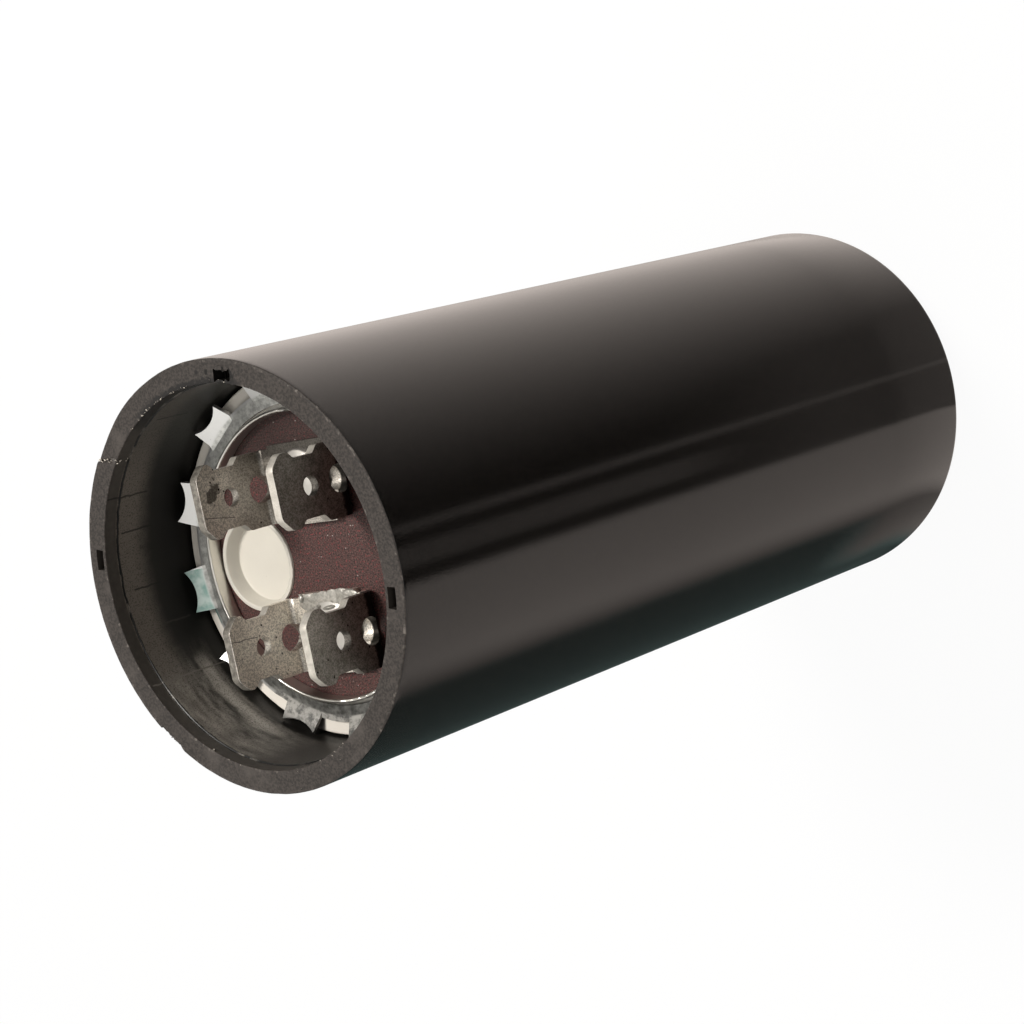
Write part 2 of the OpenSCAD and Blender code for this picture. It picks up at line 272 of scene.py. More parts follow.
def lathe(profile, steps):
    """Spins a profile of (radius, height, rounding of the corner) about the axis into a closed solid."""
    builder = bmesh.new()
    line = [builder.verts.new((radius, 0, height)) for radius, height, _ in profile]
    for a, b in zip(line, line[1:]):
        builder.edges.new((a, b))
    for corner, (_, _, rounding) in zip(line, profile):
        if rounding:
            bmesh.ops.bevel(builder, geom=[corner], offset=rounding, offset_type="OFFSET", segments=4,
                            profile=0.5, affect="VERTICES", material=-1)
    bmesh.ops.spin(builder, geom=builder.verts[:] + builder.edges[:], cent=(0, 0, 0), axis=(0, 0, 1),
                   angle=2 * math.pi, steps=steps, use_merge=True)
    bmesh.ops.remove_doubles(builder, verts=builder.verts, dist=1e-7)
    bmesh.ops.recalc_face_normals(builder, faces=builder.faces)
    return builder


def merged(node):
    """A copy of a CAD node as one joined mesh."""
    builder = bmesh.new()
    builder.from_mesh(nodes[node].data)
    bmesh.ops.remove_doubles(builder, verts=builder.verts, dist=1e-6)
    bmesh.ops.dissolve_limit(builder, angle_limit=0.01, verts=builder.verts, edges=builder.edges)
    return builder


def ease_edges(builder, edges, width, segments):
    """Rounds these edges."""
    bmesh.ops.bevel(builder, geom=edges, offset=width, offset_type="OFFSET", segments=segments, profile=0.5,
                    affect="EDGES", clamp_overlap=True, material=-1)


def soften(builder, width):
    """Eases every sharp edge of a joined mesh."""
    keen = [edge for edge in builder.edges if edge.calc_face_angle(0.0) > 0.6]
    ease_edges(builder, keen, width, 2)
    shade(builder, 0.5)


def polar(vector):
    """Angle from 0 to 360, and radius of a point about the axis."""
    return math.degrees(math.atan2(vector.y, vector.x)) % 360, math.hypot(vector.x, vector.y)


def fade(value, low, high):
    """0 at low, 1 at high, eased between."""
    t = min(max((value - low) / (high - low), 0.0), 1.0)
    return t * t * (3 - 2 * t)


def tone(colour, share):
    """A colour made darker or paler."""
    return [share * part for part in colour]


# Finishes

def skin_finish():
    """Glossy black moulded plastic with a faint grain."""
    f = Finish("case_black", IOR=1.5)
    patches = f.cloud(7 * MM)
    speckle = f.cloud(0.14 * MM, 2.0, 0.75)
    colour = f.mix((0.0008, 0.0007, 0.0006), (0.0150, 0.0130, 0.0116), f.ease(speckle, 0.36, 0.64))
    colour = f.mix(colour, (0.0060, 0.0052, 0.0046), 0.3 * patches)
    return f.set(Base_Color=colour, Roughness=0.10 + 0.05 * patches,
                 Normal=f.bump(f.cloud(0.16 * MM, 1.0), 0.012 * MM, 0.3))


def rim_finish():
    """The mouth's cut face: dull, brownish and scuffed, and dirty by the upper slot."""
    f = Finish("case_cut_rim", Specular_IOR_Level=0.3)
    radius, turn = f.polar()
    grain = f.cloud(0.22 * MM, 3.0, 0.65)
    colour = f.mix((0.021, 0.0175, 0.0155), (0.052, 0.0435, 0.0385), f.ease(grain, 0.36, 0.64))
    colour = f.mix(colour, (0.090, 0.078, 0.070), 0.5 * f.ease(f.cloud(3.0 * MM), 0.5, 0.75))
    ragged = radius + 0.7 * MM * (f.cloud(0.4 * MM) - 0.5)
    dirt = f.ease(ragged, MOUTH_R + 0.55 * MM, MOUTH_R + 0.3 * MM) * f.band(turn, 96.0, 20.0, 6.0)
    spots = f.ease(f.cells(0.8 * MM), 0.36, 0.2) * f.band(turn, 84.0, 8.0, 5.0)
    spots = spots * f.ease(radius, CASE_R - 0.65 * MM, CASE_R - 1.05 * MM)
    colour = f.mix(colour, (0.006, 0.005, 0.005), 0.9 * dirt.over(spots))
    outer_edge = f.ease(radius, CASE_R - 0.4 * MM, CASE_R - 0.15 * MM)
    inner_edge = f.ease(radius, MOUTH_R + 0.35 * MM, MOUTH_R + 0.1 * MM)
    wear_and_painted_shade = outer_edge.over(inner_edge) * f.ease(f.cloud(0.5 * MM), 0.55, 0.75)
    colour = f.mix(colour, (0.16, 0.14, 0.125), wear_and_painted_shade)
    return f.set(Base_Color=colour, Roughness=0.5 + 0.15 * grain, Normal=f.bump(grain, 0.03 * MM, 0.4))


def wall_finish():
    """The inner wall: paler by the mouth, black further in, with glossy streaks carrying painted reflections, a
    painted glare, painted shade deep by the can, and lines scored in it.
    """
    f = Finish("case_inner_wall", Specular_IOR_Level=0.22)
    _, turn = f.polar()
    turn = f.add("ShaderNodeMath", {"operation": "WRAP"}, {0: turn, 1: 360.0, 2: 0.0})
    depth = (RIM_Z - f.axes()[2]) / MM
    wobble = f.cloud(0.9 * MM) - 0.5
    near_mouth = f.ease(depth + 0.7 * wobble, 3.0, 5.4, 1.0, 0.0) * f.ease(turn, 122.0, 150.0, 0.45, 1.0)
    low_side = f.ease(turn, 198.0, 222.0) * f.ease(turn, 262.0, 244.0)
    under_side = f.ease(turn, 236.0, 256.0)
    along_wall = f.add("ShaderNodeCombineXYZ", None, {0: 0.11 * turn, 1: 1.1 * depth})
    streak = f.cloud(1.0, place=along_wall)
    # Glossy streaks on the lower wall, also painted paler as reflections.
    gloss_and_painted_sheen = low_side * f.ease(streak, 0.18, 0.84)
    # A painted glare low on the wall.
    glare = f.band(turn, 226.0, 13.0, 9.0) * f.band(depth + 1.4 * (streak - 0.5), 6.8, 0.2, 0.75)
    deep = f.mix((0.034, 0.033, 0.029), (0.0060, 0.0054, 0.0050), f.ease(turn, 120.0, 150.0))
    colour = f.mix(deep, (0.130, 0.113, 0.097), near_mouth * (1 - 0.35 * low_side))
    colour = f.mix(colour, (0.045, 0.040, 0.0355), under_side)
    colour = f.mix(colour, (0.330, 0.306, 0.270), 0.9 * gloss_and_painted_sheen)
    colour = f.mix(colour, (0.46, 0.43, 0.385), 0.8 * glare)
    grain = f.cloud(0.13 * MM, 2.0, 0.7)
    colour = f.mix(colour, (0.004, 0.004, 0.0035), 0.72 * f.ease(grain, 0.46, 0.72))
    # Painted shade deep in the bore, beside the can.
    colour = f.mix(colour, (0.005, 0.0045, 0.004), 0.92 * f.ease(depth + 0.5 * wobble, 7.7, 8.4))
    lip_tone = f.mix((0.028, 0.024, 0.021), (0.064, 0.056, 0.049), f.cloud(0.5 * MM))
    lip_tone = f.mix(lip_tone, (0.006, 0.0055, 0.005), 0.9 * f.band(turn, 96.0, 24.0, 8.0))
    colour = f.mix(colour, lip_tone, f.ease(depth, 1.40, 1.25))
    step = f.band(depth + 0.28 * wobble, 1.48, 0.05 + 0.05 * low_side, 0.06)
    colour = f.mix(colour, BLACK_LINE, step * f.ease(f.cloud(2.4 * MM), 0.36, 0.46))
    for angle, top, bottom, line_tone in WALL_LINES:
        line = f.band(turn + 1.2 * wobble, angle, 0.12, 0.3)
        line = line * f.band(depth, (top + bottom) / 2, (bottom - top) / 2, 0.3)
        colour = f.mix(colour, line_tone, 0.85 * line)
    return f.set(Base_Color=colour, Roughness=0.45 - 0.18 * gloss_and_painted_sheen,
                 Normal=f.bump(f.cloud(0.4 * MM), 0.02 * MM, 0.4))


def start_metal(name, dark, pale, patch, metallic=1.0):
    """Begins the finish of dull plated sheet: its tree, and its cloudy, finely scratched colour."""
    f = Finish(name, Metallic=metallic)
    colour = f.mix(dark, pale, f.ease(f.cloud(patch, 4.0, 0.6), 0.28, 0.72))
    brushed = f.cloud(0.5 * MM, 2.0, place=f.turned((0.12, 1, 1.6), (0.5, 0.3, 0.2)))
    return f, f.mix(colour, dark, 0.5 * f.ease(brushed, 0.62, 0.7))


def end_metal(f, colour, rough, darkest, palest, holes=0.0):
    """Ends it with a fine grain in its tone, gloss and relief."""
    fine = f.cloud(0.12 * MM, 2.0)
    speckle = f.ease(f.cloud(0.15 * MM, 2.0, 0.75), 0.62, 0.40, darkest, palest)
    colour = f.add("ShaderNodeVectorMath", {"operation": "SCALE"}, {0: colour, "Scale": speckle})
    return f.set(Base_Color=colour, Roughness=rough - 0.06 + 0.14 * fine,
                 Normal=f.bump(fine - 6.0 * holes, 0.012 * MM, 0.5))


def metal_finish(name, dark, pale, rough, patch, metallic=1.0):
    """Dull metal without marks of its own."""
    f, colour = start_metal(name, dark, pale, patch, metallic)
    return end_metal(f, colour, rough, 0.88, 1.06)


def tin_finish():
    """The brackets' tin: pits all over, a stain and two scratches, with painted shade on the near blades, at
    their feet, on the upper bracket and along the upper base's top edge, and the lower bracket made paler as
    painted light.
    """
    dark, pale = (0.66, 0.61, 0.545), (0.84, 0.79, 0.715)
    f, colour = start_metal("terminal_tin", dark, pale, 2.2 * MM)
    x, y, z = f.axes()
    near = f.ease(x, BLADE_IN_X - 0.3 * MM, BLADE_IN_X - 0.1 * MM)
    upper = f.ease(y, 0.0, MM)
    # Painted shade: a darker mottled tin on the upper bracket's blades and on the near blades, fullest at their
    # feet; the lower bracket is made paler as painted light.
    wear_and_painted_shade = f.mix(tone(dark, 0.27), tone(dark, 0.43), f.ease(f.cloud(0.7 * MM, 5.0, 0.75), 0.36, 0.64))
    colour = f.mix(colour, wear_and_painted_shade, 0.5 * upper * f.ease(z, HEAD_Z - 0.8 * MM, NECK_Z + 0.5 * MM))
    colour = f.mix(colour, tone(pale, 1.12), 0.5 * (1 - upper))
    colour = f.mix(colour, wear_and_painted_shade, near * f.ease(z, HEAD_Z + 0.2 * MM, NECK_Z + 1.5 * MM, 0.86, 1.0))
    # Painted shade along the top edge of the upper bracket's base.
    base_edge = f.ease(z, BASE_Z + 0.35 * MM, BASE_Z + 0.1 * MM) * f.ease(y, 8.3 * MM, 9.0 * MM)
    colour = f.mix(colour, tone(dark, 0.15), 0.95 * base_edge)
    # Painted shade in the corner at the near blades' feet.
    ragged = z + 0.6 * MM * (f.cloud(0.5 * MM) - 0.5)
    painted_shade = near * f.ease(ragged, BASE_Z + 0.9 * MM, BASE_Z + 0.5 * MM)
    colour = f.mix(colour, (0.014, 0.012, 0.011), 0.95 * painted_shade)
    blot = f.add("ShaderNodeMapping", {"vector_type": "TEXTURE"},
                 {"Vector": f.place, "Location": STAIN, "Rotation": (-0.6, 0, 0),
                  "Scale": (MM, 1.4 * MM, 0.7 * MM)})
    off = f.add("ShaderNodeVectorMath", {"operation": "LENGTH"}, {0: blot}, "Value")
    stain = f.ease(off + 1.8 * (f.cloud(0.45 * MM) - 0.5), 0.9, 0.6)
    colour = f.mix(colour, (0.06, 0.05, 0.042), 0.8 * stain)
    drift = y + 0.25 * MM * (f.cloud(0.8 * MM) - 0.5)
    for middle, slope, height in SCRATCHES:
        line = f.band(drift - slope * (z - height), middle, 0.015 * MM, 0.045 * MM)
        line = line * f.band(z, height, 1.5 * MM, 0.3 * MM)
        colour = f.mix(colour, tone(dark, 0.2), 0.8 * line * (1 - near))
    pit_gap = 0.85 * MM
    pits = f.ease(f.cells(pit_gap), 0.13, 0.08) * f.ease(f.cloud(3.1 * pit_gap), 0.46, 0.50)
    colour = f.mix(colour, (0.012, 0.011, 0.010), pits)
    return end_metal(f, colour, 0.46, 0.66, 1.18, pits)


def ring_finish():
    """Zinc plate: spangled grey flat, white bloomed teeth, one stained blue-green and the low ones dull."""
    f = Finish("ring_zinc")
    radius, turn = f.polar()
    _, y, _ = f.axes()
    clouds = f.cloud(0.7 * MM, 5.0, 0.65)
    spangle = f.ease(clouds, 0.3, 0.7)
    tooth = f.ease(radius, TOOTH_R + 0.15 * MM, TOOTH_R + 0.4 * MM)
    low_tooth = f.ease(radius, TOOTH_R - 0.2 * MM, TOOTH_R + 0.05 * MM) * f.band(turn, -98.0, 26.0, 6.0)
    # The flat is darker towards the bottom of the mouth and paler towards the top.
    ring_top_tone = f.mix((0.52, 0.525, 0.505), (0.95, 0.955, 0.92), spangle)
    ring_bottom_tone = f.mix((0.075, 0.075, 0.07), (0.25, 0.25, 0.237), spangle)
    colour = f.mix(ring_bottom_tone, ring_top_tone, f.ease(y, -9.0 * MM, 6.0 * MM))
    bloom = f.mix((0.86, 0.86, 0.85), (0.95, 0.95, 0.94), clouds)
    colour = f.mix(colour, bloom, tooth * (1 - low_tooth))
    verdigris = f.mix((0.26, 0.42, 0.385), (0.54, 0.64, 0.61), f.ease(f.cloud(1.3 * MM), 0.35, 0.65))
    colour = f.mix(colour, verdigris, tooth * f.band(turn, -172.0, 12.0, 1.0))
    pits = f.ease(f.cells(1.1 * MM), 0.12, 0.07) * f.ease(f.cloud(3 * MM), 0.52, 0.56) * (1 - 0.7 * tooth)
    colour = f.mix(colour, (0.015, 0.015, 0.014), pits)
    dull = f.mix((0.10, 0.10, 0.095), (0.40, 0.39, 0.365), f.ease(f.cloud(0.9 * MM, 5.0, 0.7), 0.36, 0.58))
    colour = f.mix(colour, dull, low_tooth)
    tip = f.ease(radius, TOOTH_R + 0.8 * MM, TOOTH_R + 1.8 * MM)
    colour = f.mix(colour, (0.05, 0.05, 0.047), 0.75 * low_tooth * tip)
    return f.set(Base_Color=colour, Roughness=0.34 + 0.10 * clouds + 0.2 * low_tooth,
                 Metallic=0.6 + 0.3 * tooth - 0.8 * low_tooth,
                 Normal=f.bump(f.cloud(0.15 * MM, 2.0) - 5.0 * pits, 0.012 * MM, 0.35))


def can_finish():
    """The can's drawn sheet: a polished lip, and a shoulder dulled to a cream grey, with painted shade under
    two teeth.
    """
    f = Finish("can_sheet")
    radius, turn = f.polar()
    clouds = f.cloud(1.2 * MM, 4.0, 0.6)
    fine = f.cloud(0.15 * MM, 2.0)
    dull = f.ease(radius, SHOULDER_R, SHOULDER_R + 0.4 * MM)
    colour = f.mix((0.58, 0.565, 0.525), (0.72, 0.70, 0.655), clouds)
    colour = f.mix(colour, f.mix((0.84, 0.79, 0.71), (0.93, 0.89, 0.82), clouds), dull)
    # Painted shade on the shoulder under the two low teeth.
    painted_shade = f.band(turn, -113.0, 8.2, 1.0).over(f.band(turn, -83.0, 8.5, 1.0))
    colour = f.mix(colour, (0.03, 0.027, 0.024), 0.9 * dull * painted_shade)
    return f.set(Base_Color=colour, Roughness=0.26 + 0.10 * fine + 0.24 * dull, Metallic=1 - dull,
                 Normal=f.bump(fine, 0.02 * MM, 0.5))


def rivet_finish():
    """Tinned rivet heads with dirt round their edges."""
    f = Finish("rivet_tin", Metallic=0.7)
    x, y, _ = f.axes()
    across = abs(y - PATTERN_Y) - (TERMINAL_A_Y - PATTERN_Y)
    radius = (x * x + across * across) ** 0.5
    clouds = f.cloud(0.8 * MM, 4.0, 0.6)
    colour = f.mix((0.46, 0.445, 0.41), (0.66, 0.635, 0.595), clouds)
    dirt = f.ease(radius + 0.25 * MM * (f.cloud(0.6 * MM) - 0.5), RIVET_HEAD_R, RIVET_HEAD_R + 0.2 * MM)
    colour = f.mix(colour, (0.035, 0.030, 0.026), 0.9 * dirt)
    return f.set(Base_Color=colour, Roughness=0.36 + 0.12 * clouds + 0.2 * dirt,
                 Normal=f.bump(clouds, 0.02 * MM, 0.3))


def laminate_finish():
    """Dark red-brown board with a fine grain, a few bright specks, and painted shade towards its upper side."""
    f = Finish("cover_laminate", Specular_IOR_Level=0.3)
    _, y, _ = f.axes()
    fine = f.cloud(0.14 * MM, 3.0, 0.7)
    clouds = f.cloud(3.0 * MM)
    colour = f.mix((0.010, 0.009, 0.009), (0.172, 0.092, 0.080), f.ease(fine, 0.38, 0.66))
    colour = f.mix(colour, (0.055, 0.022, 0.022), 0.5 * clouds)
    colour = f.mix(colour, (0.28, 0.045, 0.05), 0.65 * f.ease(f.cloud(0.2 * MM, 2.0), 0.58, 0.68))
    # Painted shade towards the board's upper side.
    colour = f.mix(colour, (0.020, 0.015, 0.014), 0.45 * f.ease(y, 7.0 * MM, 10.0 * MM))
    specks = f.ease(f.cells(0.55 * MM), 0.13, 0.08) * f.ease(f.cloud(1.7 * MM), 0.52, 0.57)
    colour = f.mix(colour, (0.42, 0.36, 0.34), specks)
    return f.set(Base_Color=colour, Roughness=0.40 + 0.2 * clouds, Normal=f.bump(fine, 0.02 * MM, 0.4))


def plug_finish():
    """Cream moulded plug with a faintly uneven skin, and painted shade on the upper side of the cup's wall."""
    f = Finish("plug_cream")
    _, y, z = f.axes()
    clouds = f.cloud(1.6 * MM)
    colour = f.mix((0.66, 0.63, 0.56), (0.715, 0.685, 0.615), clouds)
    # Painted shade on the cup's wall, stronger towards the floor, on its upper side only.
    wall = f.ease(z, CUP_FLOOR_Z + 0.03 * MM, CUP_FLOOR_Z + 0.11 * MM)
    wall = wall * f.ease(z, CUP_RIM_Z - 0.05 * MM, CUP_RIM_Z - 0.65 * MM, 0.55, 0.9)
    wall = wall * f.ease(y, -3.4 * MM, -1.2 * MM)
    colour = f.mix(colour, (0.42, 0.40, 0.36), 0.62 * wall)
    specks = f.ease(f.cells(0.8 * MM), 0.1, 0.05) * f.ease(f.cloud(2 * MM), 0.56, 0.6)
    colour = f.mix(colour, (0.45, 0.40, 0.33), 0.7 * specks)
    return f.set(Base_Color=colour, Roughness=0.42 + 0.12 * clouds,
                 Normal=f.bump(f.cloud(0.4 * MM), 0.03 * MM, 0.3))


def flake_finish():
    """Torn plastic, whitened where it was stressed, and darker towards the low side."""
    f = Finish("case_torn_edge")
    _, y, _ = f.axes()
    clouds = f.cloud(0.25 * MM, 2.0)
    colour = f.mix((0.20, 0.17, 0.14), (0.78, 0.72, 0.63), f.ease(clouds, 0.35, 0.62))
    colour = f.mix(colour, (0.13, 0.115, 0.10), 0.7 * f.ease(y, 2.0 * MM, -8.0 * MM))
    return f.set(Base_Color=colour, Roughness=0.5 + 0.3 * clouds)


def board_finish(name, dark, pale, size):
    """Fibrous board, paper or rubber of the hidden inner parts."""
    f = Finish(name)
    fibres = f.cloud(size, 5.0, 0.65, f.turned((1, 1, 0.25)))
    return f.set(Base_Color=f.mix(dark, pale, fibres), Roughness=0.75 + 0.2 * fibres,
                 Normal=f.bump(fibres, 0.05 * MM, 0.4))


# Pieces

def rim_wear(place):
    """Where a point of the case's mouth goes once the rim is cracked, chipped and cut uneven."""
    angle, radius = polar(place)
    depth = RIM_Z - place.z
    by_mouth = 1 - fade(depth, 0.6 * MM, 3.0 * MM)
    at_top = 1 - fade(depth, 0.2 * MM, 1.0 * MM)
    sink = 0.02 * MM * noise.noise(place * 350) + 0.06 * MM * at_top
    inward = 1 if radius > WALL_MIDDLE_R else -1
    pull = 0.03 * MM * inward * abs(noise.noise(place * 900)) * (1 - fade(depth, 0.2 * MM, 0.7 * MM))

    across = fade(radius, MOUTH_R, CASE_R - 0.05 * MM)
    crack = CRACK_IN + (CRACK_OUT - CRACK_IN) * across + 0.5 * noise.noise(Vector((radius * 2500, 1.7, 0)))
    gape = max(0.0, 1 - abs(angle - crack) / 0.55)
    sink += 0.30 * MM * gape * by_mouth
    if radius > CASE_R - 0.3 * MM:
        pull += 0.10 * MM * gape * by_mouth
        pull += 0.20 * MM * by_mouth * fade(angle, CRACK_OUT - 22.9, CRACK_OUT - 0.4) * (angle < crack)
        chipped = fade(angle, CHIP_START, CHIP_START + 0.6) * (1 - fade(angle, CHIP_END - 2.0, CHIP_END))
        bite = 0.5 + 0.5 * noise.noise(Vector((angle * 1.3, 4.2, depth * 700)))
        pull += (0.10 + 0.22 * bite) * MM * chipped * (1 - fade(depth, 0.5 * MM, 1.6 * MM))

    off_slot = abs(angle - UPPER_SLOT)
    if SLOT_IN_R - 0.2 * MM < radius < SLOT_OUT_R + 0.25 * MM and off_slot < SLOT_HALF + 2:
        pull += 0.4 * MM * noise.noise(place * 2300)
        sink += 0.25 * MM * max(0.0, noise.noise(place * 1100)) * (1 - fade(depth, 0.2 * MM, 0.6 * MM))
    torn = max(0.0, 1 - off_slot / 9) * (1 - fade(radius, CASE_R - 0.85 * MM, CASE_R - 0.35 * MM))
    sink += 0.45 * MM * torn * max(0.0, noise.noise(place * 1300)) * (1 - fade(depth, 0.3 * MM, 1.2 * MM))
    scale = (radius - pull) / radius
    return Vector((place.x * scale, place.y * scale, min(place.z - sink, RIM_Z)))


def case_piece():
    """The moulded cup, its three slots in the rim, and the wear round its mouth."""
    outside = [(CASE_R, height * MM, 0) for height in (12, 70, 80, 82.7, 83.7, 84.3, 84.8, 85.2)]
    top = [(radius, RIM_Z, 0) for radius in (17.85 * MM, 17.6 * MM, SLOT_OUT_R, 16.9 * MM, SLOT_IN_R)]
    mouth = [(MOUTH_R, height, 0) for height in (85.3 * MM, 84.8 * MM, STEP_Z)]
    bore = [(BORE_R, height, 0) for height in (STEP_Z - 0.05 * MM, 83 * MM, 80 * MM, 60 * MM)]
    profile = [(0, 0, 0), (CASE_R, 0, 0.9 * MM), *outside, (CASE_R, RIM_Z, 0.16 * MM), *top,
               (MOUTH_R, RIM_Z, 0.1 * MM), *mouth, *bore, (BORE_R, CASE_FLOOR_Z, 0.5 * MM),
               (0, CASE_FLOOR_Z, 0)]
    builder = lathe(profile, 720)
    for middle in SLOT_ANGLES:
        opening = []
        for face in builder.faces:
            angle, radius = polar(face.calc_center_median())
            if abs(angle - middle) < SLOT_HALF and SLOT_IN_R < radius < SLOT_OUT_R and face.normal.z > 0.9:
                opening.append(face)
        cut = bmesh.ops.extrude_face_region(builder, geom=opening)["geom"]
        bmesh.ops.delete(builder, geom=opening, context="FACES_ONLY")
        floor_verts = [item for item in cut if isinstance(item, bmesh.types.BMVert)]
        bmesh.ops.translate(builder, vec=(0, 0, -SLOT_DEPTH), verts=floor_verts)
    for vert in builder.verts:
        if vert.co.z > WEAR_Z:
            vert.co = rim_wear(vert.co)
    bmesh.ops.recalc_face_normals(builder, faces=builder.faces)
    shade(builder)
    for face in builder.faces:
        middle = face.calc_center_median()
        _, radius = polar(middle)
        if radius < SLOT_OUT_R + 0.05 * MM and CASE_FLOOR_Z - 0.1 * MM < middle.z < RIM_Z - 0.12 * MM:
            face.material_index = 2
        elif middle.z > RIM_Z - 0.5 * MM and abs(face.normal.z) > 0.4:
            face.material_index = 1
    new_piece("case_body", builder, [case_black, case_cut, case_wall], "case_plastic", "case")


def add_flake(builder, place, size, chance):
    """One torn crumb of plastic, flattened and turned by chance."""
    crumb = bmesh.ops.create_icosphere(builder, subdivisions=1, radius=size)["verts"]
    long, wide, high = chance.uniform(0.6, 1.8), chance.uniform(0.4, 1.0), chance.uniform(0.3, 0.7)
    stretch = Matrix.Diagonal((long, wide, high, 1))
    turn = chance.uniform(0, math.tau)
    spin = Matrix.Rotation(turn, 4, Vector((chance.gauss(0, 1), chance.gauss(0, 1), 1)))
    bmesh.ops.transform(builder, matrix=Matrix.Translation(place) @ spin @ stretch, verts=crumb)


def flakes_piece():
    """Crumbs and burrs on the crack and along the rim's edges, none of them past the case's own reach."""
    chance = random.Random(7)
    builder = bmesh.new()

    def scatter(count, angles, radii, depths, sizes):
        """Radii, depths and sizes are ranges in mm."""
        for _ in range(count):
            angle = math.radians(chance.uniform(*angles))
            radius = chance.uniform(*radii) * MM
            height = RIM_Z - chance.uniform(*depths) * MM
            place = Vector((radius * math.cos(angle), radius * math.sin(angle), height))
            add_flake(builder, place, chance.uniform(*sizes) * MM, chance)

    crumbs = 15
    for step in range(crumbs):
        share = step / (crumbs - 1)
        angle = CRACK_IN + (CRACK_OUT - CRACK_IN) * share
        radii = (16.2 + 1.85 * share, 16.3 + 1.85 * share)
        scatter(1, (angle - 0.7, angle + 0.4), radii, (0.06, 0.12), (0.05, 0.12))
    scatter(6, (136.4, 137.6), (16.1, 16.2), (0.15, 1.4), (0.04, 0.10))
    scatter(22, (92, 124), (16.17, 16.32), (0.03, 0.10), (0.03, 0.10))
    scatter(7, (66, 92), (16.2, 16.5), (0.05, 0.25), (0.03, 0.07))
    scatter(12, (185, 222), (18.02, 18.16), (0.04, 0.09), (0.02, 0.05))
    scatter(9, (222, 231), (17.85, 18.05), (0.04, 0.2), (0.03, 0.08))
    scatter(16, (232, 300), (16.18, 16.45), (0.03, 0.08), (0.02, 0.06))
    scatter(10, (235, 300), (16.5, 18.0), (0.02, 0.04), (0.02, 0.05))
    scatter(3, (241.6, 242.4), (16.05, 16.2), (0.0, 0.12), (0.10, 0.16))
    for vert in builder.verts:
        _, radius = polar(vert.co)
        reach = min(1.0, CASE_R / radius)
        vert.co = Vector((vert.co.x * reach, vert.co.y * reach, min(vert.co.z, RIM_Z)))
    shade(builder)
    new_piece("case_torn_edges", builder, [case_torn], "case_plastic")


def terminal_piece(node, middle):
    """A bracket with eased edges, brighter where it was cut, its far blade's tip rolled over and lower, with
    painted shade on that tip's edges.
    """
    builder = merged(node)
    for vert in builder.verts:
        if vert.co.x < 0 and vert.co.z > BLADE_TIP_Z - 1.3 * MM:
            vert.co.z -= FAR_TIP_DROP
    for low, high, width in ((HEAD_Z, BLADE_TIP_Z + 0.25 * MM, 0.3 * MM), (NECK_Z, HEAD_Z, 0.14 * MM)):
        corners = []
        for edge in builder.edges:
            a, b = (vert.co for vert in edge.verts)
            across = abs(a.x - b.x) > 0.6 * MM and abs(a.y - b.y) + abs(a.z - b.z) < 0.01 * MM
            if across and low < a.z < high and edge.calc_face_angle(0.0) > 0.45:
                corners.append(edge)
        ease_edges(builder, corners, width, 4)
    rolled = []
    for edge in builder.edges:
        inside = all(abs(vert.co.x + BLADE_IN_X) < 0.1 * MM for vert in edge.verts)
        by_tip = all(vert.co.z > HEAD_Z - 0.8 * MM for vert in edge.verts)
        if inside and by_tip and edge.calc_face_angle(0.0) > 0.6:
            rolled.append(edge)
    ease_edges(builder, rolled, 0.45 * MM, 4)
    soften(builder, 0.12 * MM)
    for face in builder.faces:
        place = face.calc_center_median()
        head = place.z > HEAD_Z - 0.6 * MM
        side = place.z > BASE_Z + 0.8 * MM and abs(place.y - middle) > 2 * MM
        if (head or side) and abs(face.normal.x) < 0.4:
            # Index 2 is painted shade on the far blade's tip edges; index 1 is the bright cut edge.
            face.material_index = 2 if place.x < 0 and head and face.normal.x > -0.2 else 1
    new_piece(node + "_bracket", builder, [tin, cut_edge, far_tip_shade], "terminal_tin", node, crisp=True)


def weld_piece():
    """A thin rough crust of bright metal on the lower bracket's base, with a few beads at its ends."""
    chance = random.Random(3)
    builder = bmesh.new()
    # Each lump's x, y, length, width and height in mm
    lumps = [(x, -3.85 + 0.06 * x, 1.15, 0.74, 0.12) for x in (-2.2, -1.2, -0.2, 0.8, 1.8)]
    lumps += [(2.9, -3.5, 0.9, 0.35, 0.2), (-2.9, -3.6, 0.3, 0.4, 0.3), (0.3, -4.55, 0.8, 0.2, 0.62),
              (-0.9, -4.4, 0.3, 0.2, 0.6)]
    for x, y, long, wide, high in lumps:
        lump = bmesh.ops.create_icosphere(builder, subdivisions=5, radius=1.0 * MM)["verts"]
        bmesh.ops.scale(builder, vec=(long, wide, high), verts=lump)
        spin = Matrix.Rotation(chance.uniform(-0.15, 0.15), 3, "Z")
        bmesh.ops.rotate(builder, cent=(0, 0, 0), matrix=spin, verts=lump)
        bmesh.ops.translate(builder, vec=(x * MM, y * MM, BASE_Z - 0.02 * MM), verts=lump)
        for vert in lump:
            coarse, fine = noise.noise_vector(vert.co * 1100), noise.noise_vector(vert.co * 5000)
            vert.co += 0.05 * MM * coarse + 0.012 * MM * fine
    shade(builder, 0.9)
    new_piece("terminal_b_weld", builder, [weld], "terminal_tin")


def ring_piece():
    """The toothed ring, with one tooth knocked a little aside and one pressed flatter."""
    builder = merged("retaining_ring")
    for vert in builder.verts:
        angle, radius = polar(vert.co)
        if abs(angle - KNOCKED_TOOTH) < TOOTH_HALF:
            swing = math.radians(-1.6) * fade(radius, TOOTH_R - 0.2 * MM, TOOTH_R + 0.6 * MM)
            vert.co = Matrix.Rotation(swing, 3, "Z") @ vert.co
        if abs(angle - PRESSED_TOOTH) < TOOTH_HALF and radius > TOOTH_R:
            vert.co.z -= 0.3 * (vert.co.z - RING_TOP_Z)
    soften(builder, 0.05 * MM)
    new_piece("retaining_ring_plate", builder, [zinc], "ring_zinc", "retaining_ring", crisp=True)


